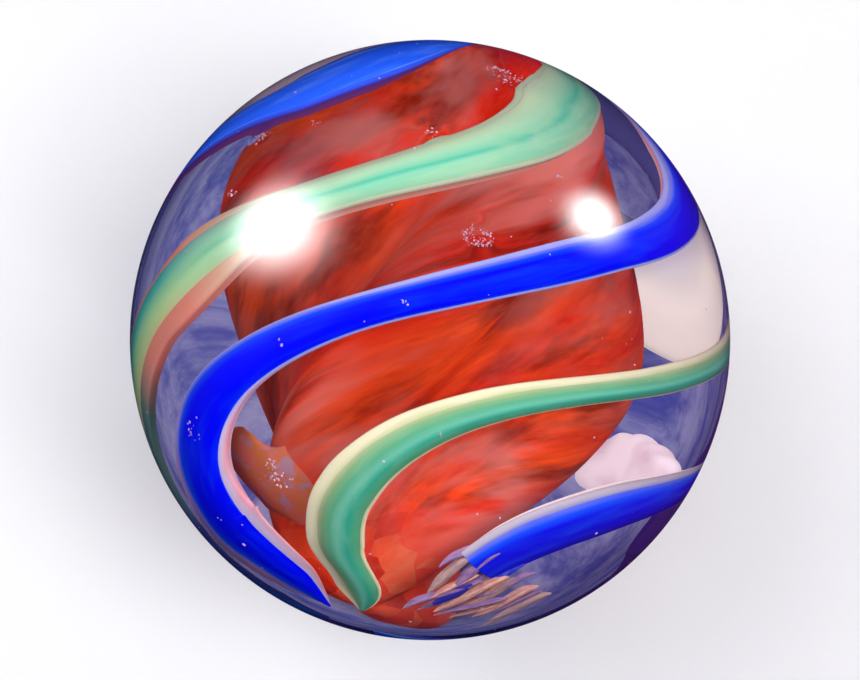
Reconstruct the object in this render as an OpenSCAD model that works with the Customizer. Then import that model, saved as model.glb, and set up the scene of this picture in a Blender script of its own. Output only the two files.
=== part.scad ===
// Handmade swirl marble: a clear glass ball round a twisted red core and six coloured strips.
// It lies on a table with its twist axis flat, along Y. The origin is the middle of the ball.

/* [Ball] */
// Outside diameter of the ball
ball_d = 16; // [12:0.5:40]

/* [Twist] */
// Turn of the swirl from the middle of the ball to either end, in degrees
half_turn = 80; // [20:1:110]
// Latitude past which everything runs straight to the end, in degrees
straight_lat = 63; // [45:1:75]

/* [Strips] */
// Clear glass over the strips
cover_t = 0.75; // [0.3:0.05:1.5]
// Width of a blue strip at mid-ball, measured round the ball and not square to the strip
blue_w = 1.8; // [0.8:0.05:2.2]
// Width of the broken blue strip where it is widest, near its break
broken_w = 2.1; // [0.8:0.05:2.4]
// Size of the rest of the broken blue strip, as a share of its size there
broken_tail = 0.55; // [0.4:0.05:1]
// Size of the middle blue strip where it swells toward the near end, as a share of mid-ball
swollen = 1.6; // [1:0.05:1.7]
// Width of the broad green strip, and of the broken one near its break
broad_green_w = 2.1; // [0.8:0.05:2.4]
// Width of the slim green strip
slim_green_w = 1.25; // [0.8:0.05:2.4]
// Thickness of the coloured glass in a strip
colour_t = 0.22; // [0.1:0.01:0.5]
// Thickness of the opaque base under the colour
base_t = 0.9; // [0.3:0.05:1.1]
// How far a blue strip's white base shows, on the side toward the next strip
white_lip = 0.38; // [0.05:0.01:0.6]
// How far a green strip's cream base shows, on the side toward the next strip
cream_lip = 0.5; // [0.05:0.01:0.6]
// How far every base shows on the other side
narrow_lip = 0.14; // [0.02:0.01:0.3]
// Latitude at which a whole strip ends, in degrees
strip_end_lat = 83; // [72:1:85]
// Latitude at which the third blue strip is broken off, in degrees
blue_break_lat = 56; // [40:1:58]
// Latitude at which the third green strip is broken off, in degrees
green_break_lat = -6; // [-20:1:20]

/* [Core] */
// Twice the reach of the core's biggest lobe
core_d = 8.4; // [4:0.1:9]
// Twice the distance from the axis to the deepest groove between lobes
core_neck_d = 2.9; // [2:0.1:8]
// Length of the core, from tip to tip
core_len = 13.1; // [8:0.1:13.2]

/* [Fragment] */
// Width of the loose bit of the third blue strip, past the break
fragment_w = 0.7; // [0.3:0.05:1.2]
// Length of the fragment along the strip, in degrees of latitude
fragment_span = 10; // [4:1:12]

/* [Chips] */
// Depth of a chip in the ball's surface, as a share of the chip's width
chip_depth = 0.05; // [0.02:0.01:0.1]

/* [Hidden] */
ball_r = ball_d / 2;
// The strips' outer faces follow a ball of this radius.
strip_r = ball_r - cover_t;
strip_count = 6;
// Strips narrow where they crowd together: the share of the space that one may fill there, and
// the share that the middle blue strip takes
crowd = 0.62;
wide_crowd = 0.76;
// Latitude where the bases start to thin toward the ends, and what is left there
thin_lat = 50;
thin_left = 0.12;
// A whole strip's tip: its length in degrees, and the share of the strip's size at its very end
tip_lat = 9;
tip_left = 0.2;
// The broken blue strip and the far end of the broad green one draw in over a longer stretch.
drawn_lat = 30;
drawn_left = 0.6;
// Exponent of a tip's curve
tip_curve = 1.5;
// The core's three uneven lobes and grooves before the twist: turn, and reach from 0 in the
// deepest groove to 1 on the biggest lobe. The last row is the first again, a full turn on.
LOBES = [[43, 0.1], [97, 0.75], [158, 0], [232, 1], [280, 0], [346, 0.85], [403, 0.1]];
// Exponent of the core's taper: 2 is an ellipse, less is more pointed.
core_taper = 1.9;
// The middle of the core lies this far from the middle of the ball, away from the broken end.
core_shift = -0.35;
// Gap between the break and the fragment, in degrees of latitude, and the fragment's shift
fragment_gap = 4;
fragment_shift = -5;
// Each chip: latitude, turn round the axis, and width
chips = [[-52, 83, 1.5], [-29, 98, 0.9], [-23, 136, 0.8], [-9, 83, 1], [43, 118, 0.8]];
// Stations along a whole strip, rings along the core, points round the core
stations = 37;
core_rings = 27;
core_sides = 36;
// Half the step used to find a strip's direction, in degrees
probe = 0.25;

// Line of each strip before the twist: latitudes, and its turn there
BLUE_LINES = [
    [[-40, 206.5], [-20, 216.5]],
    [[-18, 85.5], [5, 82], [30, 84], [55, 83], [85, 64]],
    [[-15, -37.5], [30, -32]]];
GREEN_LINES = [
    [[-75, 127], [-50, 142]],
    [[2, 24], [22, 27.5], [50, 23.7], [62, 22.5], [82, 4]],
    [[-75, 270], [-40, 301], [-25, 301], [-8, 292.5]]];
// Size of each strip along its line, as a share of its full size
EVEN = [[0, 1]];
BLUE_SIZES = [
    EVEN,
    [[-80, 0.5], [-50, 1], [5, 1], [30, 1.22], [42, 1.22], [56, swollen]],
    [[-15, broken_tail], [30, 1]]];
GREEN_SIZES = [EVEN, [[30, 1], [60, 0.9], [78, 0.7]], [[-25, 0.6], [-8, 0.95]]];
// Each strip: line, sizes, full width, share of the space that it may fill, length of its first
// tip, end latitude, length of its last tip, share left there, and lip of the base
BLUE = [
    [BLUE_LINES[0], BLUE_SIZES[0], blue_w, crowd, tip_lat, strip_end_lat, tip_lat, tip_left, white_lip],
    [BLUE_LINES[1], BLUE_SIZES[1], blue_w, wide_crowd, tip_lat, strip_end_lat, tip_lat, tip_left,
     white_lip],
    [BLUE_LINES[2], BLUE_SIZES[2], broken_w, crowd, tip_lat, blue_break_lat, drawn_lat, drawn_left,
     white_lip]];
GREEN = [
    [GREEN_LINES[0], GREEN_SIZES[0], broad_green_w, crowd, drawn_lat, strip_end_lat, tip_lat, tip_left,
     cream_lip],
    [GREEN_LINES[1], GREEN_SIZES[1], slim_green_w, crowd, tip_lat, strip_end_lat, tip_lat, tip_left,
     cream_lip],
    [GREEN_LINES[2], GREEN_SIZES[2], broad_green_w, crowd, tip_lat, green_break_lat, tip_lat, drawn_left,
     cream_lip]];

function clamp(x, low, high) = min(max(x, low), high);
function unit(v) = v / norm(v);
function eased(x) = let (t = clamp(x, 0, 1)) t * t * (3 - 2 * t);

// Value at a place along a list of [place, value], eased from each to the next
function along(list, place, i = 1) =
    i == len(list) ? list[i - 1][1]
    : place > list[i][0] ? along(list, place, i + 1)
    : let (a = list[i - 1], b = list[i])
        a[1] + (b[1] - a[1]) * eased((place - a[0]) / (b[0] - a[0]));

// What a strip's row holds
function line(strip) = strip[0];
function sizes(strip) = strip[1];
function full_width(strip) = strip[2];
function space_share(strip) = strip[3];
function first_tip(strip) = strip[4];
function end_lat(strip) = strip[5];
function last_tip(strip) = strip[6];
function last_left(strip) = strip[7];
function lip(strip) = strip[8];

// Turn of the twist at a latitude: fastest at mid-ball, none past straight_lat
function swirl(lat) = half_turn * sin(90 * clamp(lat / straight_lat, -1, 1));

function heading(lat, strip) = along(line(strip), lat) + swirl(lat);

function on_ball(lat, turn) = [cos(lat) * cos(turn), cos(lat) * sin(turn), sin(lat)];

// Outward direction of a strip's centre line at a latitude
function outward(lat, strip) = on_ball(lat, heading(lat, strip));

// Direction across the strip, square to its run
function across(lat, strip) =
    let (run = outward(lat + probe, strip) - outward(lat - probe, strip))
    unit(cross(run, outward(lat, strip)));

// A strip keeps its width round the ball when the glass is twisted, so it is slimmer across,
// by this share, where it runs at a slant.
function slant(lat, strip) =
    let (turn = heading(lat, strip))
    across(lat, strip) * [-sin(turn), cos(turn), 0];

// Share of the full size near a tip
function tip_share(room, length, left) =
    1 - (1 - left) * pow(1 - clamp(room / length, 0, 1), tip_curve);

function end_share(lat, strip) =
    min(tip_share(lat + strip_end_lat, first_tip(strip), tip_left),
        tip_share(end_lat(strip) - lat, last_tip(strip), last_left(strip)));

// Share of the base's thickness, which thins toward the ends of the twist
function base_share(lat) =
    let (way = clamp((abs(lat) - thin_lat) / (strip_end_lat - thin_lat), 0, 1))
    1 - (1 - thin_left) * way;

// Width of a strip round the ball, narrowed where the strips crowd together
function width_at(lat, strip) =
    min(full_width(strip) * along(sizes(strip), lat),
        space_share(strip) * strip_r * cos(lat) * 2 * PI / strip_count);

// A point of a strip's section: so far to the side, and so deep under the surface of the ball
function section_point(out, side, offset, depth) =
    let (swing = offset / strip_r * 180 / PI)
    (ball_r - depth) * (cos(swing) * out + sin(swing) * side);

// The 11 points of a strip's section. 0 and 1 are the corners where colour and base meet,
// 2 to 6 the crowned outer face of the colour, 7 to 10 the keel-shaped base.
function section(lat, strip) =
    let (out = outward(lat, strip),
         side = across(lat, strip),
         tip = end_share(lat, strip),
         width = width_at(lat, strip),
         half = width * slant(lat, strip) * tip / 2,
         colour = colour_t * tip,
         base = base_t * base_share(lat) * min(1, along(sizes(strip), lat)) * tip,
         seat = cover_t + colour,
         lip_share = min(1, 2 * half / full_width(strip)),
         narrow = narrow_lip * lip_share,
         wide = lip(strip) * lip_share,
         keel = half * 0.92)
    [for (p = [[-half, seat], [half, seat],
               [half, cover_t + 0.6 * colour], [half / 2, cover_t + 0.15 * colour], [0, cover_t],
               [-half / 2, cover_t + 0.15 * colour], [-half, cover_t + 0.6 * colour],
               [-half - narrow, seat + 0.15 * base], [-keel, seat + base],
               [keel, seat + base], [half + wide, seat + 0.15 * base]])
        section_point(out, side, p[0], p[1])];

POINTS = 11;
COLOUR_RING = [0, 1, 2, 3, 4, 5, 6];
BASE_RING = [1, 0, 7, 8, 9, 10];
WHOLE_RING = [1, 2, 3, 4, 5, 6, 0, 7, 8, 9, 10];
// The whole section isn't convex, so its end faces are given as two.
WHOLE_CAPS = [COLOUR_RING, BASE_RING];

// Solid swept along a strip from one latitude to another: ring names the section points that it
// runs through, caps the faces at its two ends. Every four-sided patch is split from its
// lower-numbered point, so that solids which share a face split it alike.
module strip_solid(strip, ring, caps, from_lat = -strip_end_lat) {
    span = end_lat(strip) - from_lat;
    count = max(4, round(stations * span / (2 * strip_end_lat)));
    n = len(ring);
    points = [for (i = [0:count]) each section(from_lat + span * i / count, strip)];
    start_caps = [for (cap = caps) [for (j = [len(cap) - 1:-1:0]) cap[j]]];
    end_caps = [for (cap = caps) [for (j = cap) count * POINTS + j]];
    sides = [for (i = [0:count - 1], j = [0:n - 1])
             let (p = ring[j], q = ring[(j + 1) % n], a = i * POINTS + p, b = i * POINTS + q)
             each (p < q ? [[a, b, b + POINTS], [a, b + POINTS, a + POINTS]]
                         : [[a, b, a + POINTS], [b, b + POINTS, a + POINTS]])];
    polyhedron(points = points, faces = concat(start_caps, end_caps, sides), convexity = 10);
}

// A ring of the core at a height along the axis
function core_ring(z) =
    let (taper = sqrt(max(0, 1 - pow(abs(z - core_shift) / (core_len / 2), core_taper))),
         twist = swirl(asin(clamp(z / strip_r, -1, 1))))
    [for (j = [0:core_sides - 1])
        let (turn = LOBES[0][0] + 360 * j / core_sides,
             r = taper * (core_neck_d + (core_d - core_neck_d) * along(LOBES, turn)) / 2)
        [r * cos(turn + twist), r * sin(turn + twist), z]];

module core_solid() {
    heights = [for (i = [1:core_rings]) core_shift - core_len / 2 * cos(180 * i / (core_rings + 1))];
    n = core_sides;
    last = core_rings * n;
    tips = [for (way = [-1, 1]) [0, 0, core_shift + way * core_len / 2]];
    points = concat([for (z = heights) each core_ring(z)], tips);
    start_cap = [for (j = [0:n - 1]) [last, j, (j + 1) % n]];
    end_cap = [for (j = [0:n - 1]) [last + 1, last - n + (j + 1) % n, last - n + j]];
    sides = [for (i = [0:core_rings - 2], j = [0:n - 1])
             let (a = i * n + j, b = i * n + (j + 1) % n, c = a + n, d = b + n)
             each [[a, d, b], [a, c, d]]];
    polyhedron(points = points, faces = concat(start_cap, end_cap, sides), convexity = 10);
}

// The fragment lies past the break of blue strip 3, a little to one side of it.
module fragment_solid() {
    start = blue_break_lat + fragment_gap;
    turn = along(line(BLUE[2]), start) + fragment_shift;
    strip = [[[0, turn]], EVEN, fragment_w, crowd, tip_lat, start + fragment_span, tip_lat, tip_left, 0];
    strip_solid(strip, COLOUR_RING, [COLOUR_RING], start);
}

// A chip is a shallow scoop out of the ball's surface.
module chip_scoop(chip) {
    width = chip[2];
    depth = width * chip_depth;
    scoop_r = width * width / (8 * depth) + depth / 2;
    translate((ball_r - depth + scoop_r) * on_ball(chip[0], chip[1]))
        sphere(r = scoop_r, $fn = 48);
}

// Turns the twist axis from upright to flat, the positive end toward -Y.
module lay_flat() { rotate([90, 0, 0]) children(); }

module casing() {
    color([0.62, 0.64, 0.85, 0.35]) lay_flat() difference() {
        sphere(d = ball_d, $fn = 120);
        core_solid();
        for (strip = concat(BLUE, GREEN)) strip_solid(strip, WHOLE_RING, WHOLE_CAPS);
        fragment_solid();
        for (chip = chips) chip_scoop(chip);
    }
}

module core() { color([0.85, 0.2, 0.08, 0.9]) lay_flat() core_solid(); }

// The coloured glass of a strip, and the opaque base under it
module colour_solid(strip) { strip_solid(strip, COLOUR_RING, [COLOUR_RING]); }
module base_solid(strip) { strip_solid(strip, BASE_RING, [BASE_RING]); }

module blue_strip(i) { color([0, 0.1, 0.95]) lay_flat() colour_solid(BLUE[i]); }
module green_strip(i) { color([0.3, 0.75, 0.6]) lay_flat() colour_solid(GREEN[i]); }
module white_base(i) { color([0.92, 0.9, 0.95]) lay_flat() base_solid(BLUE[i]); }
module cream_base(i) { color([0.93, 0.9, 0.7]) lay_flat() base_solid(GREEN[i]); }

module blue_fragment() { color([0.1, 0.2, 0.75]) lay_flat() fragment_solid(); }

casing();
core();
blue_strip(0);  // blue_strip_1
blue_strip(1);  // blue_strip_2
blue_strip(2);  // blue_strip_3
blue_fragment();
green_strip(0);  // green_strip_1
green_strip(1);  // green_strip_2
green_strip(2);  // green_strip_3
white_base(0);  // white_base_1
white_base(1);  // white_base_2
white_base(2);  // white_base_3
cream_base(0);  // cream_base_1
cream_base(1);  // cream_base_2
cream_base(2);  // cream_base_3
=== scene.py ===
import math

import bmesh
import bpy
import numpy as np
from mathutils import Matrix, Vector


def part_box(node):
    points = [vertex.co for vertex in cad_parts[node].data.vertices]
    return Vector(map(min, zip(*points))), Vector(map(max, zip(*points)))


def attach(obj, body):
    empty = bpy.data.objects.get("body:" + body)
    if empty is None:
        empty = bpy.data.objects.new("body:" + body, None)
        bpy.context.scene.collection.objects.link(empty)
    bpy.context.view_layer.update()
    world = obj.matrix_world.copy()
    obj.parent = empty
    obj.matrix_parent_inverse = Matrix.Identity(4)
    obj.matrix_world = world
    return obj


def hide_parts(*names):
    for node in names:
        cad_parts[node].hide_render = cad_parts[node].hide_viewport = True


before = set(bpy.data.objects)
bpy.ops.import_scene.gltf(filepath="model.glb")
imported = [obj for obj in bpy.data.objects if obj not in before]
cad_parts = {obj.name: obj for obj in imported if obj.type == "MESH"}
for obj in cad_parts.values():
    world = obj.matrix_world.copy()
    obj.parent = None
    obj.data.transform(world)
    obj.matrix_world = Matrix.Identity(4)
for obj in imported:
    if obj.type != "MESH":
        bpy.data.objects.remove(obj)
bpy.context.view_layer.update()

# ---------------------------------------------------------------------------------------------
# The core. A three-lobed column of streaky red glass, gathered first and twisted with everything
# round it while it was soft. It swells at mid-ball and runs to a point at both ends of the twist.

MM = 0.001
BALL_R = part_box("casing")[1].z
HALF_TURN = math.radians(80)
STRAIGHT_LAT = math.radians(63)
STICK_STRETCH = 1.6
SHARP_EDGE = math.radians(50)


def swirl(lat):
    """Turn of the twist at a latitude: fastest at mid-ball, none near the ends."""
    return HALF_TURN * np.sin(math.pi / 2 * np.clip(lat / STRAIGHT_LAT, -1, 1))


def flat(points):
    """The twist axis is worked out upright and laid flat along Y, its positive end toward -Y."""
    return np.stack([points[..., 0], -points[..., 2], points[..., 1]], -1)


def direction(lat, turn):
    return np.stack([np.cos(lat) * np.cos(turn), np.cos(lat) * np.sin(turn), np.sin(lat)], -1)


def tint(red, green, blue):
    """A colour as it looks, 0 to 255, as the light that a shader takes."""
    share = np.array([red, green, blue]) / 255
    light = np.where(share <= 0.04045, share / 12.92, ((share + 0.055) / 1.055) ** 2.4)
    return (*(float(x) for x in light), 1.0)


def glass_body(name, points, laid, slot, material, *nodes):
    """A closed body of glass through rings of points. laid says where each point lay, in
    millimetres, in the straight stick before the twist: streaks follow it."""
    rings, around = points.shape[:2]
    faces = []
    for i in range(rings - 1):
        for j in range(around):
            k = (j + 1) % around
            faces.append((i * around + j, i * around + k, (i + 1) * around + k, (i + 1) * around + j))
    faces.append(tuple(range(around)))
    faces.append(tuple((rings - 1) * around + j for j in reversed(range(around))))
    mesh = bpy.data.meshes.new(name)
    mesh.from_pydata(points.reshape(-1, 3).tolist(), [], faces)
    where = mesh.attributes.new("laid", "FLOAT_VECTOR", "POINT")
    where.data.foreach_set("vector", laid.reshape(-1).astype(np.float32))
    return finished_piece(name, mesh, slot, material, *nodes)


def finished_piece(name, mesh, slot, material, *nodes):
    work = bmesh.new()
    work.from_mesh(mesh)
    bmesh.ops.recalc_face_normals(work, faces=work.faces)
    for face in work.faces:
        face.smooth = True
    for edge in work.edges:
        edge.smooth = edge.calc_face_angle(0) < SHARP_EDGE
    work.to_mesh(mesh)
    work.free()
    mesh.materials.append(material)
    piece = bpy.data.objects.new(name, mesh)
    bpy.context.scene.collection.objects.link(piece)
    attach(piece, "root")
    if nodes:
        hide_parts(*nodes)
    return piece


def new_material(name):
    material = bpy.data.materials.new(name)
    material.use_nodes = True
    tree = material.node_tree
    return material, tree, tree.nodes["Principled BSDF"]


def put(tree, kind, settings=None, **values):
    """Adds a node. Values name its inputs, with _ for a space, or i0, i1 for their numbers: a socket is
    linked, a plain value set."""
    new = tree.nodes.new("ShaderNode" + kind)
    for key, value in (settings or {}).items():
        setattr(new, key, value)
    for key, value in values.items():
        numbered = key[0] == "i" and key[1:].isdigit()
        socket = new.inputs[int(key[1:]) if numbered else key.replace("_", " ")]
        if isinstance(value, bpy.types.NodeSocket):
            tree.links.new(value, socket)
        else:
            socket.default_value = value
    return new


def blended(tree, factor, first, second):
    """Colour that goes from first to second as factor goes from 0 to 1."""
    mix = put(tree, "Mix", {"data_type": "RGBA", "clamp_factor": True})
    for socket, value in ((mix.inputs[0], factor), (mix.inputs[6], first), (mix.inputs[7], second)):
        if isinstance(value, bpy.types.NodeSocket):
            tree.links.new(value, socket)
        else:
            socket.default_value = value
    return mix.outputs[2]


def ramp(tree, factor, stops):
    """Colours at places from 0 to 1."""
    bar = put(tree, "ValToRGB", Fac=factor)
    elements = bar.color_ramp.elements
    while len(elements) < len(stops):
        elements.new(0.5)
    for element, (place, colour) in zip(elements, stops):
        element.position = place
        element.color = colour
    return bar.outputs["Color"]


def graded(tree, value, first, last, low=0.0, high=1.0, kind="LINEAR"):
    """low where value is first, high where it is last, and between the two in between."""
    return put(tree, "MapRange", {"interpolation_type": kind}, Value=value, From_Min=first, From_Max=last,
               To_Min=low, To_Max=high).outputs["Result"]


def share_of(tree, factor, share):
    return put(tree, "Math", {"operation": "MULTIPLY"}, i0=factor, i1=share).outputs[0]


def along_stick(tree):
    """How far along the straight stick each point lay, in millimetres, from mid-ball to the near end."""
    laid = put(tree, "Attribute", {"attribute_name": "laid"}).outputs["Vector"]
    return put(tree, "SeparateXYZ", Vector=laid).outputs["Z"]


def make_streak_group():
    """Streaks drawn out along the twist: Width and Length in millimetres, Seed picks others."""
    group = bpy.data.node_groups.new("drawn_streaks", "ShaderNodeTree")
    for label, value in (("Width", 0.3), ("Length", 5.0), ("Seed", 0.0), ("Low", 0.35), ("High", 0.65)):
        group.interface.new_socket(label, in_out="INPUT", socket_type="NodeSocketFloat").default_value = value
    group.interface.new_socket("Streak", in_out="OUTPUT", socket_type="NodeSocketFloat")
    entry = group.nodes.new("NodeGroupInput")
    leave = group.nodes.new("NodeGroupOutput")
    laid = put(group, "Attribute", {"attribute_name": "laid"})
    size = put(group, "CombineXYZ", X=entry.outputs["Width"], Y=entry.outputs["Width"], Z=entry.outputs["Length"])
    scaled = put(group, "VectorMath", {"operation": "DIVIDE"}, i0=laid.outputs["Vector"], i1=size.outputs[0])
    noise = put(group, "TexNoise", {"noise_dimensions": "4D"}, Vector=scaled.outputs[0], W=entry.outputs["Seed"],
                Scale=1.0, Detail=3.0, Roughness=0.55, Distortion=0.3)
    spread = put(group, "MapRange", {"interpolation_type": "SMOOTHSTEP"}, Value=noise.outputs["Fac"],
                 From_Min=entry.outputs["Low"], From_Max=entry.outputs["High"])
    group.links.new(spread.outputs["Result"], leave.inputs["Streak"])
    return group


STREAKS = make_streak_group()


def streak(tree, width, length, seed, low=0.35, high=0.65):
    drawn = put(tree, "Group", {"node_tree": STREAKS}, Width=width, Length=length, Seed=seed, Low=low, High=high)
    return drawn.outputs["Streak"]


def eased(x):
    t = np.clip(x, 0, 1)
    return t * t * (3 - 2 * t)


def along(stops, place):
    """Value at a place along (place, value) stops, eased from each to the next."""
    value = np.full_like(place, stops[0][1], dtype=float)
    for (a, low), (b, high) in zip(stops, stops[1:]):
        value = np.where(place > a, low + (high - low) * eased((place - a) / (b - a)), value)
    return value


CORE_R, CORE_GROOVE_R = 4.2 * MM, 1.45 * MM
LOBES = [(43, 0.1), (97, 0.75), (158, 0), (232, 1), (280, 0), (346, 0.85), (403, 0.1)]
CORE_FULLNESS = 1.9
CORE_RINGS, CORE_AROUND = 150, 144
OVERTURN = 0.9
COVER = 0.75 * MM  # clear glass over the strips

near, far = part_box("core")
core_middle, core_reach = -(near.y + far.y) / 2, (far.y - near.y) / 2
height = core_middle - core_reach * np.cos(np.linspace(0.02, math.pi - 0.02, CORE_RINGS))[:, None]
angle = np.linspace(LOBES[0][0], LOBES[-1][0], CORE_AROUND, endpoint=False)[None, :]
taper = np.sqrt(np.clip(1 - np.abs((height - core_middle) / core_reach) ** CORE_FULLNESS, 0, 1))
lobe_r = CORE_GROOVE_R + (CORE_R - CORE_GROOVE_R) * along(LOBES, angle)
angle = np.radians(angle)
ridges = 1 + 0.012 * np.sin(11 * angle + 1.3) + 0.008 * np.sin(19 * angle + 180 * height / BALL_R / 60)
core_r = lobe_r * taper * ridges
twist = swirl(np.arcsin(np.clip(height / (BALL_R - COVER), -1, 1)))
core_turn = angle + twist
upright = np.stack(np.broadcast_arrays(core_r * np.cos(core_turn), core_r * np.sin(core_turn), height), -1)
# The skin turned further than the lobes did, so the streaks on it lie flatter than the grooves.
drawn = angle - OVERTURN * twist
untwisted = np.stack(np.broadcast_arrays(core_r * np.cos(drawn), core_r * np.sin(drawn), height), -1) / MM

red_glass, tree, surface = new_material("streaky_red_glass")
broad = streak(tree, 2.2, 6.0, 2.0, 0.38, 0.62)
fine = streak(tree, 0.35, 4.0, 5.0)
dark = streak(tree, 0.9, 3.0, 9.0, 0.44, 0.66)
milk = streak(tree, 1.5, 2.2, 17.0, 0.42, 0.66)
grit = streak(tree, 0.14, 0.3, 29.0)
base = blended(tree, broad, tint(238, 40, 18), tint(255, 84, 26))
base = blended(tree, share_of(tree, fine, 0.4), base, tint(180, 25, 8))
base = blended(tree, share_of(tree, dark, 0.8), base, tint(112, 14, 4))
reach = along_stick(tree)
from_middle = put(tree, "Math", {"operation": "ABSOLUTE"}, i0=reach).outputs[0]
milkier = graded(tree, from_middle, 0.8, 3.4, 0.3, 0.78)
base = blended(tree, share_of(tree, milk, milkier), base, tint(214, 130, 122))
base = blended(tree, share_of(tree, grit, 0.14), base, tint(240, 105, 60))
# The near end is cracked into facets of a hotter red, each a different red at random, the palest of them painted
# glints.
laid = put(tree, "Attribute", {"attribute_name": "laid"}).outputs["Vector"]
facet = put(tree, "TexVoronoi", Vector=laid, Scale=1.6, Randomness=1.0).outputs["Color"]
facet = put(tree, "SeparateColor", Color=facet).outputs["Red"]
facet_red_and_glints = ramp(tree, facet, [(0.0, tint(190, 30, 8)), (0.25, tint(255, 62, 28)), (0.7, tint(255, 92, 45)),
                         (1.0, tint(255, 122, 74))])
facet_red_and_glints = blended(tree, share_of(tree, fine, 0.5), facet_red_and_glints, tint(255, 75, 35))
near_end = graded(tree, reach, 3.6, 5.2)
base = blended(tree, share_of(tree, near_end, 0.75), base, facet_red_and_glints)
# Darker patches in the glass, a painted shade at its heart and a grey-violet darkening at one shoulder: middle,
# reach, strength and colour.
CORE_DARK_PATCHES = [((-0.66, -1.07, 3.9), 2.6, 0.42, tint(150, 24, 6)), ((-3.84, 1.72, 1.62), 2.0, 0.75, tint(92, 66, 100))]
place = put(tree, "TexCoord").outputs["Object"]
for middle, spread, strength, patch_colour in CORE_DARK_PATCHES:
    middle = tuple(c * MM for c in middle)
    away = put(tree, "VectorMath", {"operation": "DISTANCE"}, i0=place, i1=middle).outputs["Value"]
    patch_share = graded(tree, away, 0.2 * spread * MM, spread * MM, strength, 0.0, "SMOOTHSTEP")
    base = blended(tree, patch_share, base, patch_colour)
tree.links.new(base, surface.inputs["Base Color"])
# The core's colour is also emitted, faintly: a painted glow that brightens it evenly, as if more light reached it.
tree.links.new(base, surface.inputs["Emission Color"])
surface.inputs["Emission Strength"].default_value = 0.08
surface.inputs["Roughness"].default_value = 0.6
surface.inputs["Specular IOR Level"].default_value = 0.1
glass_body("red_core", flat(upright), untwisted, "red_glass", red_glass, "core")

# ---------------------------------------------------------------------------------------------
# The strips. Each is a thin ribbon of coloured glass laid on an opaque keel, blue on white or
# green on cream. The keel is a little wider, so it shows as a pale edge, mostly on one side.

COLOUR_T = 0.22 * MM
KEEL_T = 0.9 * MM
RIBBON_R = BALL_R - COVER
END_LAT = 83
STRIPS_ROUND = 6
LIMIT_EASE = 8.0


class Strip:
    """One strip: its line before the twist, its width and its lip, sizes along it, the share of the
    space that it may fill, and where and how it starts and ends. Its narrow lip may flare and its
    wide lip fade toward the near end."""

    def __init__(self, line, width, lip, sizes=((0, 1.0),), room=0.62, first=9, end=END_LAT, tip=9, left=0.2,
                 start=-END_LAT, flare=0.0, fade=0.0):
        self.line, self.sizes, self.width, self.lip, self.room = line, sizes, width * MM, lip * MM, room
        self.start, self.first, self.end, self.tip, self.left = start, first, end, tip, left
        self.flare, self.fade = flare, fade

    def heading(self, lat):
        return np.radians(along(self.line, np.degrees(lat))) + swirl(lat)

    def sections(self, count):
        """Latitude, outward and sideways direction, half width and share of full size at each station."""
        degrees = np.linspace(self.start, self.end, count)
        lat = np.radians(degrees)
        out = direction(lat, self.heading(lat))
        step = 0.002
        run = direction(lat + step, self.heading(lat + step)) - direction(lat - step, self.heading(lat - step))
        side = np.cross(run, out)
        side /= np.linalg.norm(side, axis=1)[:, None]
        turn = self.heading(lat)
        slant = side[:, 1] * np.cos(turn) - side[:, 0] * np.sin(turn)
        room = self.room * RIBBON_R * np.cos(lat) * 2 * math.pi / STRIPS_ROUND
        first = 1 - 0.8 * (1 - np.clip((degrees - self.start) / self.first, 0, 1)) ** 1.5
        last = 1 - (1 - self.left) * (1 - np.clip((self.end - degrees) / self.tip, 0, 1)) ** 1.5
        share = np.minimum(first, last)
        wanted = self.width * along(self.sizes, degrees)
        # The smaller of the two, with no corner where they cross.
        width = (wanted ** -LIMIT_EASE + room ** -LIMIT_EASE) ** (-1 / LIMIT_EASE)
        half = width * slant * share / 2
        return degrees, out, side, half, share

    def body(self, outline, count=220):
        """Points of the closed body whose section outline() gives as offsets, depths and marks on them."""
        degrees, out, side, half, share = self.sections(count)
        wobble = 1 + 0.02 * np.sin(degrees / 5.3 + self.line[0][1]) + 0.01 * np.sin(degrees / 2.3 + self.width)
        offset, depth, marks = outline(self, degrees, (half * wobble)[:, None], share[:, None])
        swing = offset / RIBBON_R
        points = (BALL_R - depth)[..., None] * (
            np.cos(swing)[..., None] * out[:, None] + np.sin(swing)[..., None] * side[:, None])
        reach = np.broadcast_to((np.radians(degrees) * BALL_R * STICK_STRETCH)[:, None], offset.shape)
        laid = np.stack([offset, depth, reach], -1) / MM
        marks["across"] = offset / np.maximum((half * wobble)[:, None], 1e-6)
        return flat(points), laid, marks


def ribbon_outline(strip, degrees, half, share):
    """A lens: a crowned face that thins to nothing at both edges, on a flat seat."""
    top = np.linspace(1, -1, 25)[None, :]
    seat = COVER + COLOUR_T * share
    crown = seat - COLOUR_T * share * (1 - np.abs(top) ** 2.6)
    under = np.linspace(-1, 1, 9)[None, 1:-1]
    offset = np.concatenate([top * half, under * half], 1)
    depth = np.concatenate([crown, np.broadcast_to(seat, (len(half), under.shape[1]))], 1)
    return offset, depth, {}


NARROW_LIP = 0.14 * MM
THINS_FROM = 50
CORNER_CUTS, CORNER_SHARE = 3, 0.18


def corners_cut(line):
    """Closed sections with each corner cut off, the same share of both edges that meet in it."""
    after = np.roll(line, -1, 1)
    ends = [line + CORNER_SHARE * (after - line), after + CORNER_SHARE * (line - after)]
    return np.stack(ends, -1).reshape(len(line), -1)


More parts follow.
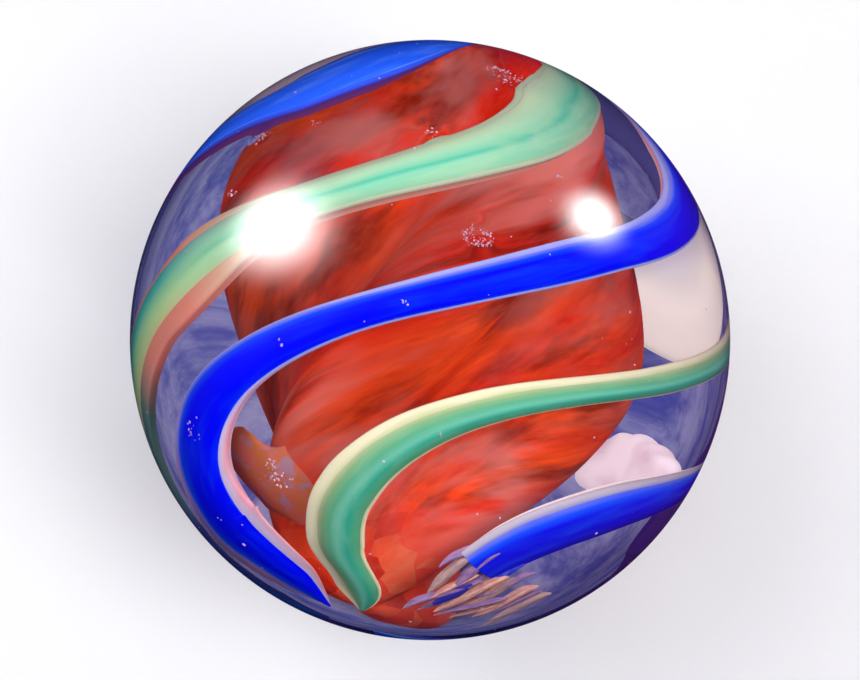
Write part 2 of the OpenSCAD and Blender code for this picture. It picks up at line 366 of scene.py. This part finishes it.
def keel_outline(strip, degrees, half, share):
    """A keel: flat on top, with a rounded lip on each side, and narrower at the bottom."""
    thin = 1 - 0.88 * np.clip((np.abs(degrees)[:, None] - THINS_FROM) / (END_LAT - THINS_FROM), 0, 1)
    deep = KEEL_T * thin * share * np.minimum(1, along(strip.sizes, degrees))[:, None]
    seat = COVER + COLOUR_T * share
    lip = 2 * half / strip.width
    narrow = NARROW_LIP * lip * (1 + strip.flare * eased((degrees - 20) / 35))[:, None]
    broad = strip.lip * lip * (1 - strip.fade * eased((degrees - 2) / 22))[:, None]
    corners = [(half, seat), (-half, seat), (-half - narrow, seat + 0.15 * deep), (-half * 0.92, seat + deep),
               (half * 0.92, seat + deep), (half + broad, seat + 0.15 * deep)]
    x = np.concatenate([c[0] for c in corners], 1)
    y = np.concatenate([np.broadcast_to(c[1], half.shape) for c in corners], 1)
    for _ in range(CORNER_CUTS):
        x, y = corners_cut(x), corners_cut(y)
    reach = np.where(x > 0, np.maximum(broad, 0.01 * MM * lip), narrow)
    return x, y, {"rim": (np.abs(x) - half) / np.maximum(reach, 1e-6), "down": (y - seat) / np.maximum(deep, 1e-6)}


def add_strip_body(name, strip, outline, slot, material, node):
    points, laid, marks = strip.body(outline)
    piece = glass_body(name, points, laid, slot, material, node)
    for mark, values in marks.items():
        drawn = piece.data.attributes.new(mark, "FLOAT", "POINT")
        drawn.data.foreach_set("value", values.reshape(-1).astype(np.float32))
    return piece


def matte_inside(surface, base, tree):
    """Glass fused into glass mirrors nothing where the two meet."""
    tree.links.new(base, surface.inputs["Base Color"])
    surface.inputs["Roughness"].default_value = 0.7
    surface.inputs["Specular IOR Level"].default_value = 0.05


def across_share(tree, seed):
    """Place across a strip from 0 to 1, wandering a little as the glass was drawn."""
    across = put(tree, "Attribute", {"attribute_name": "across"}).outputs["Fac"]
    wander = put(tree, "Math", {"operation": "MULTIPLY_ADD"}, i0=streak(tree, 0.8, 6.0, seed), i1=0.12, i2=across)
    return graded(tree, wander.outputs[0], -1.0, 1.1)


# Blue ribbons: deep cobalt, thinning to periwinkle where they run out at the upper edge, and to the
# worn colour beyond it where one is given.

def blue_ribbon_glass(name, deep, soft, edge, seed, cloud, worn=None):
    material, tree, surface = new_material(name)
    place = across_share(tree, seed)
    if worn:
        place = share_of(tree, place, graded(tree, along_stick(tree), 7.5, 15.0, 1.0, 1.45))
    colour = ramp(tree, put(tree, "Math", {"operation": "DIVIDE"}, i0=place, i1=1.5).outputs[0],
                  [(0.0, soft), (0.033, deep), (0.49, deep), (0.587, soft), (0.667, edge), (0.76, worn or edge)])
    colour = blended(tree, share_of(tree, streak(tree, 0.45, 3.5, seed + 3, 0.45, 0.75), cloud), colour, soft)
    matte_inside(surface, colour, tree)
    return material


blue_runs = [Strip([(-40, 211), (-20, 220)], 2.35, 0.38),
             Strip([(-18, 85.5), (5, 82), (30, 84), (55, 83), (85, 64)], 1.8, 0.38,
                   [(-80, 0.5), (-50, 1), (5, 1), (30, 1.22), (42, 1.25), (64, 1.5)],
                   room=0.8, flare=2.6, fade=0.7),
             Strip([(-15, -37.5), (30, -32)], 2.1, 0.38, [(-15, 0.55), (30, 1)], end=56, tip=30, left=0.6)]
blue_glass = [blue_ribbon_glass("pale_blue_glass", tint(34, 96, 255), tint(95, 150, 255), tint(60, 100, 250),
                                1.0, 0.6),
              blue_ribbon_glass("cobalt_glass", tint(0, 4, 255), tint(10, 70, 255), tint(140, 145, 245),
                                2.0, 0.55, worn=tint(222, 160, 195)),
              blue_ribbon_glass("cobalt_glass_end", tint(0, 18, 240), tint(10, 78, 252), tint(120, 130, 225),
                                3.0, 0.6)]
for i, run in enumerate(blue_runs):
    add_strip_body(f"blue_ribbon_{i + 1}", run, ribbon_outline, "blue_glass", blue_glass[i], f"blue_strip_{i + 1}")

# Green ribbons: the broad one is mint with a teal line, the slim ones teal, yellower at the edges.

broad_green, tree, surface = new_material("mint_glass")
place = across_share(tree, 11.0)
colour = ramp(tree, place, [(0.0, tint(150, 195, 150)), (0.12, tint(138, 202, 162)), (0.3, tint(138, 208, 172)),
                            (0.4, tint(84, 192, 160)), (0.47, tint(128, 205, 168)), (0.62, tint(165, 216, 178)),
                            (0.85, tint(192, 218, 178)), (1.0, tint(200, 208, 175))])
colour = blended(tree, share_of(tree, streak(tree, 0.5, 2.5, 14.0, 0.45, 0.75), 0.3), colour, tint(215, 225, 175))
reach = along_stick(tree)
turned = ramp(tree, place, [(0.0, tint(205, 195, 140)), (0.2, tint(180, 212, 145)), (0.45, tint(150, 208, 155)),
                            (0.7, tint(78, 186, 168)), (1.0, tint(60, 160, 165))])
colour = blended(tree, graded(tree, reach, -1.5, 2.0), colour, turned)
matte_inside(surface, blended(tree, graded(tree, reach, 5.0, 11.0), colour, tint(26, 66, 150)), tree)

slim_green, tree, surface = new_material("teal_glass")
place = across_share(tree, 13.0)
colour = ramp(tree, place, [(0.0, tint(112, 165, 122)), (0.12, tint(90, 175, 128)), (0.32, tint(52, 170, 142)),
                            (0.5, tint(108, 192, 164)), (0.68, tint(92, 172, 132)), (0.86, tint(135, 180, 125)),
                            (1.0, tint(195, 200, 150))])
colour = blended(tree, share_of(tree, streak(tree, 0.5, 2.5, 15.0, 0.45, 0.75), 0.35), colour, tint(140, 205, 165))
matte_inside(surface, colour, tree)

mint_line = [(-75, 127), (-50, 142), (-10, 142)]
green_runs = [Strip(mint_line + [(12, 138.5)], 2.1, 0.5, [(-12, 1), (12, 1.3)], first=30),
              Strip([(2, 24), (22, 27.5), (50, 23.7), (62, 22.5), (82, 4)], 1.25, 0.5,
                    [(30, 1), (60, 0.9), (78, 0.7)]),
              Strip([(-75, 270), (-40, 301), (-25, 301), (-8, 292.5)], 2.1, 0.5, [(-25, 0.6), (-8, 0.95)], end=-6,
                    left=0.6)]

dusky_green, tree, surface = new_material("dusky_teal_glass")
colour = ramp(tree, across_share(tree, 16.0), [(0.0, tint(150, 170, 130)), (0.3, tint(60, 150, 130)),
                                               (0.7, tint(95, 170, 140)), (1.0, tint(190, 195, 150))])
matte_inside(surface, blended(tree, graded(tree, along_stick(tree), -5.5, -3.5), colour, tint(70, 44, 150)), tree)

for i, (run, glass) in enumerate(zip(green_runs, (broad_green, slim_green, dusky_green))):
    add_strip_body(f"green_ribbon_{i + 1}", run, ribbon_outline, "green_glass", glass, f"green_strip_{i + 1}")

# ---------------------------------------------------------------------------------------------
# The keels. Each ribbon lies on a keel of opaque glass, white under the blue and cream under the green. The colour
# over them has run a little way into the lips. The red that the core would shine on their sides is painted into
# their walls' colour.

mint_keel_run = Strip(mint_line + [(12, 134.5)], 2.1, 0.3, [(-12, 1), (12, 1.75)], first=30)
cream_runs = [mint_keel_run] + green_runs[1:]


def keel_glass(name, edge, lip, brink, wall, under, seed, *veils, painted_glow_strength=0.0, inward=False):
    """Opaque glass from the ribbon's edge over the lip to its brink, then down the wall. Each veil is
    a colour, and the places along the stick where it begins and is full. An inward veil covers
    only the narrow lip. With a glow strength, the walls' colour is also emitted: a painted glow
    standing in for light that the ball focuses onto them."""
    material, tree, surface = new_material(name)
    rim = put(tree, "Attribute", {"attribute_name": "rim"}).outputs["Fac"]
    down = put(tree, "Attribute", {"attribute_name": "down"}).outputs["Fac"]
    wander = put(tree, "Math", {"operation": "MULTIPLY_ADD"}, i0=streak(tree, 0.4, 2.5, seed), i1=0.25, i2=rim)
    colour = ramp(tree, graded(tree, wander.outputs[0], -0.2, 1.25),
                  [(0.1, edge), (0.55, lip), (0.85, lip), (1.0, brink)])
    side = graded(tree, down, 0.12, 0.3)
    walls = ramp(tree, down, [(0.2, brink), (0.35, wall), (0.85, under), (1.0, under)])
    colour = blended(tree, side, colour, walls)
    painted_glow_colour = blended(tree, side, (0, 0, 0, 1), walls)
    for veiled, begins, full in veils:
        veil = graded(tree, along_stick(tree), begins, full)
        if inward:
            across = put(tree, "Attribute", {"attribute_name": "across"}).outputs["Fac"]
            narrow_side = put(tree, "Math", {"operation": "LESS_THAN"}, i0=across, i1=0.0).outputs[0]
            veil = share_of(tree, narrow_side, veil)
            veiled = blended(tree, graded(tree, wander.outputs[0], 0.3, 0.95), tint(222, 206, 236), veiled)
        colour = blended(tree, veil, colour, veiled)
        painted_glow_colour = blended(tree, veil, painted_glow_colour, (0, 0, 0, 1))
    matte_inside(surface, colour, tree)
    # The walls' colour emitted as a painted glow, though the keel is no lamp.
    if painted_glow_strength:
        tree.links.new(painted_glow_colour, surface.inputs["Emission Color"])
        surface.inputs["Emission Strength"].default_value = painted_glow_strength
    return material


# Walls and undersides hold painted light: pink where the core's red would shine on them, and dark violet painted
# shade on the first white keel. The third white keel's walls also glow with painted light.
white_keels = [keel_glass("white_keel_glass_1", tint(60, 110, 250), tint(50, 84, 235), tint(60, 62, 190),
                          tint(84, 44, 120), tint(120, 60, 120), 20.0),
               keel_glass("white_keel_glass_2", tint(125, 135, 250), tint(170, 172, 240), tint(160, 130, 195),
                          tint(235, 140, 150), tint(240, 215, 205), 21.0, (tint(236, 160, 172), 4.0, 7.5),
                          inward=True),
               keel_glass("white_keel_glass_3", tint(145, 145, 215), tint(195, 185, 200), tint(175, 130, 150),
                          tint(232, 222, 228), tint(255, 242, 225), 22.0, (tint(98, 102, 170), -4.4, -5.2),
                          painted_glow_strength=0.4)]
cream_keels = [keel_glass("cream_keel_glass_1", tint(195, 205, 170), tint(188, 198, 165), tint(160, 140, 110),
                          tint(235, 140, 120), tint(240, 215, 185), 23.0, (tint(228, 138, 118), -2.0, 1.5),
                          (tint(96, 136, 122), 3.6, 5.4), (tint(48, 62, 135), 7.5, 11.0)),
               keel_glass("cream_keel_glass_2", tint(190, 200, 145), tint(238, 230, 190), tint(225, 190, 145),
                          tint(215, 150, 110), tint(240, 215, 175), 24.0),
               keel_glass("cream_keel_glass_3", tint(120, 70, 150), tint(150, 90, 170), tint(150, 80, 150),
                          tint(252, 228, 232), tint(255, 240, 244), 25.0, (tint(84, 52, 150), -5.5, -3.5))]
for i in range(3):
    add_strip_body(f"white_keel_{i + 1}", blue_runs[i], keel_outline, "white_glass", white_keels[i],
                   f"white_base_{i + 1}")
    add_strip_body(f"cream_keel_{i + 1}", cream_runs[i], keel_outline, "cream_glass", cream_keels[i],
                   f"cream_base_{i + 1}")

# ---------------------------------------------------------------------------------------------
# The white flake. Where the third green strip stops short on the far side, a flake of its opaque
# base broke off and was carried inward, close to the core. Its outline is latitude and turn.

FLAKE_EDGE = [(2.8, 294.5), (0.2, 296.5), (-2.4, 299), (-3.7, 302.5), (-3.4, 306.5), (-1.8, 311),
              (0.2, 315), (2.6, 319), (6.2, 320), (7.4, 311), (7.4, 302), (5.6, 296)]
FLAKE_R, FLAKE_T = 4.95 * MM, 0.22 * MM
FLAKE_ROUNDINGS, FLAKE_WAVE = 4, 0.0035
FLAKE_AROUND, FLAKE_LAYERS = 96, 23
edge = np.radians(np.array(FLAKE_EDGE))
middle = edge.mean(0)
place = np.linspace(0, len(edge), FLAKE_AROUND, endpoint=False)
ring = np.stack([np.interp(place, np.arange(len(edge) + 1), np.append(side, side[0])) for side in edge.T], 1)
for _ in range(FLAKE_ROUNDINGS):
    ring = 0.5 * ring + 0.25 * np.roll(ring, 1, 0) + 0.25 * np.roll(ring, -1, 0)
outward = (ring - middle) / np.linalg.norm(ring - middle, axis=1)[:, None]
ring += FLAKE_WAVE * np.sin(place * 5.1)[:, None] * outward
sweep = np.linspace(0.04, math.pi - 0.04, FLAKE_LAYERS)[:, None]
spread = np.sin(sweep) ** 0.5
flake = middle + spread[..., None] * (ring - middle)[None]
deep = FLAKE_R - FLAKE_T * np.cos(sweep)
flake_points = flat(direction(flake[..., 0], flake[..., 1]) * deep[..., None])
flake_glass, tree, surface = new_material("white_flake_glass")
place = put(tree, "TexCoord").outputs["Object"]
mottle = put(tree, "TexNoise", Vector=place, Scale=1400.0, Detail=4.0).outputs["Fac"]
colour = blended(tree, graded(tree, mottle, 0.42, 0.72), tint(255, 238, 242), tint(222, 188, 205))
matte_inside(surface, colour, tree)
# The flake's colour is also emitted: a painted glow that keeps it white deep in the ball.
tree.links.new(colour, surface.inputs["Emission Color"])
surface.inputs["Emission Strength"].default_value = 0.6
glass_body("white_flake", flake_points, flake_points / MM, "white_glass", flake_glass)

# ---------------------------------------------------------------------------------------------
# The dragged sheet. A little of the core's red, gone milky, was pulled off between the second
# blue strip and the green one below it.

SHEET_WIDER, SHEET_DEEPER = 1.12, 1.55 * MM


def sheet_outline(strip, degrees, half, share):
    """A lens that lies deep, between the keels and the core."""
    offset, depth, marks = ribbon_outline(strip, degrees, half, share)
    return offset * SHEET_WIDER, depth + SHEET_DEEPER, marks


sheet_glass, tree, surface = new_material("dragged_red_glass")
colour = blended(tree, streak(tree, 0.5, 1.6, 41.0), tint(216, 112, 100), tint(206, 118, 70))
colour = blended(tree, share_of(tree, streak(tree, 0.6, 0.9, 43.0, 0.5, 0.65), 0.8), colour, tint(172, 140, 165))
matte_inside(surface, colour, tree)
sheet = Strip([(40, 72), (64, 52)], 2.4, 0.0, start=40, end=65, first=5, tip=8, left=0.15)
points, laid, _ = sheet.body(sheet_outline, 60)
glass_body("dragged_sheet", points, laid, "red_glass", sheet_glass)

# ---------------------------------------------------------------------------------------------
# The loose end. Where the third blue strip broke off, a scrap of its glass floats on by itself, and
# torn threads of it trail from the break toward the pole.

scrap_run = Strip([(0, -37)], 0.7, 0.0, start=60, end=70)
scrap_glass = blue_ribbon_glass("scrap_blue_glass", tint(45, 50, 185), tint(110, 75, 165), tint(120, 90, 170),
                                5.0, 0.6)
add_strip_body("blue_scrap", scrap_run, ribbon_outline, "blue_glass", scrap_glass, "blue_fragment")


def thread_glass(name, colour, streaked, seed):
    material, tree, surface = new_material(name)
    mixed = blended(tree, streak(tree, 0.08, 0.5, seed), colour, streaked)
    matte_inside(surface, mixed, tree)
    return material


thread_colours = [thread_glass("peach_thread", tint(248, 188, 160), tint(205, 140, 140), 31.0),
                  thread_glass("tan_thread", tint(172, 142, 150), tint(212, 165, 150), 32.0),
                  thread_glass("lilac_thread", tint(138, 110, 165), tint(175, 135, 170), 33.0),
                  thread_glass("torn_blue_thread", tint(20, 50, 225), tint(95, 100, 205), 34.0)]
# Each thread: latitude at start and end, turn at both, width in millimetres and which glass.
THREADS = [(51, 64, -66, -74, 0.5, 1), (52, 67, -58, -66, 0.42, 0), (53, 70, -50, -56, 0.5, 1),
           (54, 72, -43, -45, 0.38, 0), (53, 62, -36, -39, 0.4, 2), (56, 75, -52, -40, 0.24, 2),
           (58, 76, -38, -28, 0.3, 2), (50, 59, -41, -43, 0.4, 3), (51, 58.5, -33, -36, 0.36, 3),
           (50, 56, -47, -48, 0.3, 2), (60, 71, -62, -60, 0.2, 0), (55, 66, -70, -84, 0.26, 1),
           (50, 63, -29, -33, 0.4, 2), (54, 68, -25, -27, 0.34, 1), (50, 60, -24, -20, 0.3, 2),
           (57, 69, -34, -31, 0.2, 0), (52, 62, -62, -66, 0.2, 2), (56, 66, -47, -52, 0.18, 0),
           (58, 73, -57, -50, 0.2, 2)]
for i, (first, last, from_turn, to_turn, wide, kind) in enumerate(THREADS):
    line = [(first, from_turn), (last, to_turn)]
    thread = Strip(line, wide, 0.0, start=first, end=last, first=3, tip=5, left=0.1)
    points, laid, _ = thread.body(ribbon_outline, 40)
    layer = 1 - 0.012 * (i % 3)
    glass_body(f"torn_thread_{i + 1}", points * layer, laid, "white_glass", thread_colours[kind])

# ---------------------------------------------------------------------------------------------
# The ball. One body of clear glass with a faint lavender cast surrounds everything. Years of play
# have left shallow chips in it: latitude, turn and width in millimetres.

CHIPS = [(-52, 83, 1.5), (-29, 98, 0.9), (-23, 136, 0.8), (-9, 83, 1.0), (43, 118, 0.8)]
CHIP_DEPTH = 0.05
BALL_SQUARES = 100


def cube_sphere(per_side):
    """Points and faces of a ball made from the six sides of a cube, so that no side has a pole."""
    work = bmesh.new()
    bmesh.ops.create_cube(work, size=2)
    bmesh.ops.subdivide_edges(work, edges=work.edges, cuts=per_side - 1, use_grid_fill=True)
    mesh = bpy.data.meshes.new("clear_ball")
    work.to_mesh(mesh)
    work.free()
    return mesh


ball_mesh = cube_sphere(BALL_SQUARES)
spots = np.empty(len(ball_mesh.vertices) * 3)
ball_mesh.vertices.foreach_get("co", spots)
spots = np.tan(spots.reshape(-1, 3) * math.pi / 4)
spots /= np.linalg.norm(spots, axis=1)[:, None]
radius = np.full(len(spots), BALL_R)
for lat, turn, width in CHIPS:
    centre = flat(direction(np.radians(lat), np.radians(turn)))
    away = np.linalg.norm(spots - centre, axis=1) * BALL_R / (width * MM / 2)
    radius -= width * MM * CHIP_DEPTH * np.clip(1 - away ** 2, 0, 1)
ball_mesh.vertices.foreach_set("co", (spots * radius[:, None]).reshape(-1))

clear_glass, tree, surface = new_material("clear_glass")
surface.inputs["Base Color"].default_value = (1, 1, 1, 1)
surface.inputs["Roughness"].default_value = 0.0
surface.inputs["IOR"].default_value = 1.5
surface.inputs["Transmission Weight"].default_value = 1.0
# Lamplight reaches the coloured glass as if the ball were not there, and its own glass bends the rest.
lamp_ray = put(tree, "LightPath").outputs["Is Shadow Ray"]
open_way = put(tree, "BsdfTransparent")
either = put(tree, "MixShader", i0=lamp_ray, i1=surface.outputs[0], i2=open_way.outputs[0])
cast = put(tree, "VolumeAbsorption", Color=(0.0, 0.0, 0.88, 1), Density=8.0)
leave = tree.nodes["Material Output"]
tree.links.new(either.outputs[0], leave.inputs["Surface"])
tree.links.new(cast.outputs[0], leave.inputs["Volume"])
finished_piece("clear_ball", ball_mesh, "clear_glass", clear_glass, "casing")

# ---------------------------------------------------------------------------------------------
# Seed bubbles and bruises. Tiny pale bubbles lie just under the skin, and splintered glass shows
# white where the ball was knocked: latitude, turn, spread (or width and height) and count.

draw = np.random.default_rng(7)
BRUISES = [(-52, 83, 0.62, 60), (-55, 88, 0.3, 20), (-22.8, 136.3, 0.3, 24), (-11.7, 147.3, 0.2, 9),
           (-9.4, 135.8, 0.16, 8), (-26.5, 123.5, 0.2, 10), (-28.6, 97.8, 0.22, 14), (-26.4, 69, 0.12, 6),
           (35.9, 143.8, 0.4, 16), (44.6, 118, 0.34, 34), (42, 118.9, 0.25, 20), (28.8, 79.7, 0.1, 5),
           (6.9, 93.3, 0.1, 5)]
RINGS = [(-8.8, 83, 0.36, 0.22, 110), (-8.8, 83, 0.2, 0.1, 30)]
BUBBLES = 260
BRUISE_GRAIN, RING_GRAIN, RING_SPREAD = 0.045, 0.034, 0.035
centres, sizes = [], []
for _ in range(BUBBLES):
    way = draw.normal(size=3)
    centres.append(way / np.linalg.norm(way) * (BALL_R - draw.uniform(0.08, 0.55) * MM))
    sizes.append(draw.uniform(0.3, 1.0) ** 2 * draw.uniform(0.035, 0.06, 3) * MM)


def scatter(lat, turn, offsets, size):
    """Splinters round a knock: offsets are east and north of it, in millimetres."""
    way = direction(np.radians(lat), np.radians(turn))
    east = np.array([-math.sin(math.radians(turn)), math.cos(math.radians(turn)), 0])
    north = np.cross(way, east)
    for x, y in offsets:
        spot = way * BALL_R + (east * x + north * y) * MM
        centres.append(flat(spot / np.linalg.norm(spot) * (BALL_R - draw.uniform(0.07, 0.16) * MM)))
        sizes.append(draw.uniform(0.25, 1.0, 3) ** 1.5 * size * MM)


for lat, turn, spread, count in BRUISES:
    scatter(lat, turn, draw.normal(scale=spread / 2, size=(count, 2)) * (1.0, 0.7), BRUISE_GRAIN)
for lat, turn, wide, tall, count in RINGS:
    round_way = draw.uniform(0, 2 * math.pi, count)
    ring = np.stack([wide * np.cos(round_way), tall * np.sin(round_way)], 1)
    scatter(lat, turn, ring + draw.normal(scale=RING_SPREAD, size=(count, 2)), RING_GRAIN)

grain = bmesh.new()
bmesh.ops.create_icosphere(grain, subdivisions=1, radius=1)
grain_points = np.array([v.co for v in grain.verts])
grain_faces = np.array([[v.index for v in face.verts] for face in grain.faces])
grain.free()
points, faces = [], []
for centre, size in zip(centres, sizes):
    faces.append(grain_faces + len(grain_points) * len(points))
    points.append(centre + grain_points * size * draw.uniform(0.75, 1.25, (len(grain_points), 1)))
seed_mesh = bpy.data.meshes.new("seed_bubbles")
seed_mesh.from_pydata(np.concatenate(points).tolist(), [], np.concatenate(faces).tolist())
frosted, tree, surface = new_material("frosted_glass")
place = put(tree, "TexCoord").outputs["Object"]
mottle = put(tree, "TexNoise", Vector=place, Scale=900.0, Detail=2.0).outputs["Fac"]
matte_inside(surface, blended(tree, mottle, tint(182, 140, 165), tint(222, 200, 222)), tree)
finished_piece("seed_bubbles", seed_mesh, "white_glass", frosted)

# ---------------------------------------------------------------------------------------------
# The table, the lamps and the camera. The ball stands on a plain pale table under soft lamps. Two
# small ovals near it show only as its highlights.

FLOOR_HALF = 1.5
floor_mesh = bpy.data.meshes.new("floor")
floor_corners = [(FLOOR_HALF * x, FLOOR_HALF * y, -BALL_R) for x, y in ((-1, -1), (1, -1), (1, 1), (-1, 1))]
floor_mesh.from_pydata(floor_corners, [], [(0, 1, 2, 3)])
floor_paint, tree, surface = new_material("pale_table")
surface.inputs["Base Color"].default_value = tint(232, 232, 234)
surface.inputs["Roughness"].default_value = 0.9
surface.inputs["Specular IOR Level"].default_value = 0.0
floor_mesh.materials.append(floor_paint)
floor = bpy.data.objects.new("floor", floor_mesh)
bpy.context.scene.collection.objects.link(floor)


def softbox(name, toward, distance, radius, brightness, soft=False, tall=1.0, **seen):
    """An oval lamp. brightness is how bright its face looks, where 1 is white. A soft one fades
    toward its edge, as a diffuser does."""
    toward = Vector(toward).normalized()
    lamp = bpy.data.lights.new(name, "AREA")
    lamp.shape = "ELLIPSE"
    lamp.size, lamp.size_y = 2 * radius, 2 * radius * tall
    lamp.energy = brightness * math.pi * math.pi * radius ** 2 * tall
    lamp.cycles.use_multiple_importance_sampling = soft
    if soft:
        lamp.use_nodes = True
        tree = lamp.node_tree
        face = put(tree, "NewGeometry").outputs["Parametric"]
        centred = put(tree, "VectorMath", {"operation": "SUBTRACT"}, i0=face, i1=(0.5, 0.5, 0.0))
        away = put(tree, "VectorMath", {"operation": "LENGTH"}, i0=centred.outputs[0]).outputs["Value"]
        fade = graded(tree, away, 0.0, 0.48, 1.0, 0.0, "SMOOTHSTEP")
        fade = put(tree, "Math", {"operation": "POWER"}, i0=fade, i1=3.0).outputs[0]
        tree.links.new(fade, tree.nodes["Emission"].inputs["Strength"])
    stand = bpy.data.objects.new(name, lamp)
    stand.location = toward * distance
    stand.rotation_euler = toward.to_track_quat("Z", "Y").to_euler()
    for ray, shown in seen.items():
        setattr(stand, "visible_" + ray, shown)
    bpy.context.scene.collection.objects.link(stand)


STUDIO_AWAY, HIGHLIGHT_AWAY, HIGHLIGHT_TALL = 0.5, 0.04, 1.45
studio = dict(glossy=False, transmission=False)
softbox("right_key", (0.41, -0.1, 0.9), STUDIO_AWAY, 0.13, 9.5, **studio)
softbox("left_key", (-0.6, 0.1, 0.8), STUDIO_AWAY, 0.18, 3.4, **studio)
softbox("overhead_fill", (-0.1, 0.2, 0.92), STUDIO_AWAY, 0.3, 0.8, **studio)
for i in range(4):
    way = math.radians(45 + 90 * i)
    softbox(f"side_fill_{i + 1}", (math.cos(way), math.sin(way), 0.45), STUDIO_AWAY, 0.2, 0.8, **studio)
highlight = dict(soft=True, tall=HIGHLIGHT_TALL, camera=False, diffuse=False, transmission=False)
softbox("left_softbox", (-0.84, 0.263, 0.474), HIGHLIGHT_AWAY, 0.021, 40, **highlight)
softbox("right_softbox", (0.622, 0.69, 0.365), HIGHLIGHT_AWAY, 0.0125, 40, **highlight)

# A dark card lies round the ball, seen only in the glass, and gives the ball its dark rim. It is a
# shallow dish with a mottled slate floor, a plum side and, under the ball, a near-black spot painted as its
# contact shadow.
CARD_R, CARD_UP, CARD_RIM, CARD_SIDES = 0.12, 0.00001, 0.024, 48
card_mesh = bpy.data.meshes.new("dark_card")
card_angle = np.linspace(0, 2 * math.pi, CARD_SIDES, endpoint=False)
card_points = [(0, 0, CARD_UP - BALL_R)]
for z in (CARD_UP - BALL_R, CARD_RIM):
    card_points += [(CARD_R * math.cos(a), CARD_R * math.sin(a), z) for a in card_angle]
card_faces = []
for i in range(CARD_SIDES):
    here, after = i + 1, (i + 1) % CARD_SIDES + 1
    card_faces += [(0, here, after), (here, after, after + CARD_SIDES, here + CARD_SIDES)]
card_mesh.from_pydata(card_points, [], card_faces)
card_paint, tree, surface = new_material("dark_card")
spot = put(tree, "TexCoord").outputs["Object"]
flat_spot = put(tree, "VectorMath", {"operation": "MULTIPLY"}, i0=spot, i1=(1.0, 1.0, 0.0)).outputs[0]
shifted = put(tree, "VectorMath", {"operation": "ADD"}, i0=flat_spot, i1=(0.00008, 0.00018, 0.0)).outputs[0]
near_ball = put(tree, "VectorMath", {"operation": "LENGTH"}, i0=shifted).outputs["Value"]
cloud = put(tree, "TexNoise", Vector=flat_spot, Scale=1900.0, Detail=6.0, Roughness=0.7).outputs["Fac"]
cloud = graded(tree, cloud, 0.36, 0.64, kind="SMOOTHSTEP")
slate = blended(tree, cloud, tint(106, 118, 214), tint(216, 218, 255))
# Painted contact shadow: near black right under the ball, a little toward -Y.
middle = graded(tree, near_ball, 0.0002, 0.0009, kind="SMOOTHSTEP")
slate = blended(tree, middle, tint(8, 8, 34), slate)
sideways = put(tree, "SeparateXYZ", Vector=spot).outputs["X"]
outer = blended(tree, graded(tree, sideways, 0.004, 0.02), tint(10, 14, 48), tint(92, 40, 110))
slate = blended(tree, graded(tree, near_ball, 0.003, 0.0066, kind="SMOOTHSTEP"), slate, outer)
tree.links.new(slate, surface.inputs["Base Color"])
surface.inputs["Roughness"].default_value = 0.9
surface.inputs["Specular IOR Level"].default_value = 0.0
card_mesh.materials.append(card_paint)
card = bpy.data.objects.new("dark_card", card_mesh)
bpy.context.scene.collection.objects.link(card)
card.visible_camera = card.visible_diffuse = card.visible_shadow = False

world = bpy.data.worlds.new("studio")
bpy.context.scene.world = world
world.use_nodes = True
world.cycles.sampling_method = "NONE"
sky = world.node_tree
toward = put(sky, "TexCoord").outputs["Generated"]
upward = put(sky, "SeparateXYZ", Vector=toward).outputs["Z"]
room = blended(sky, graded(sky, upward, 0.07, 0.14), (0.75, 0.77, 0.85, 1), (0.03, 0.03, 0.06, 1))
sky.links.new(room, sky.nodes["Background"].inputs["Color"])

CAMERA_AZIMUTH, CAMERA_ELEVATION = math.radians(14.17), math.radians(77.27)
CAMERA_AWAY, CAMERA_LENS = 20 * BALL_R, 251
camera = bpy.data.objects.new("camera", bpy.data.cameras.new("camera"))
camera_way = Vector((math.sin(CAMERA_AZIMUTH) * math.cos(CAMERA_ELEVATION),
                     -math.cos(CAMERA_AZIMUTH) * math.cos(CAMERA_ELEVATION), math.sin(CAMERA_ELEVATION)))
camera.location = camera_way * CAMERA_AWAY
camera.rotation_euler = camera_way.to_track_quat("Z", "Y").to_euler()
camera.data.lens = CAMERA_LENS
camera.data.clip_start = 0.01
bpy.context.scene.collection.objects.link(camera)
bpy.context.scene.camera = camera
bpy.context.scene.view_settings.view_transform = "Standard"
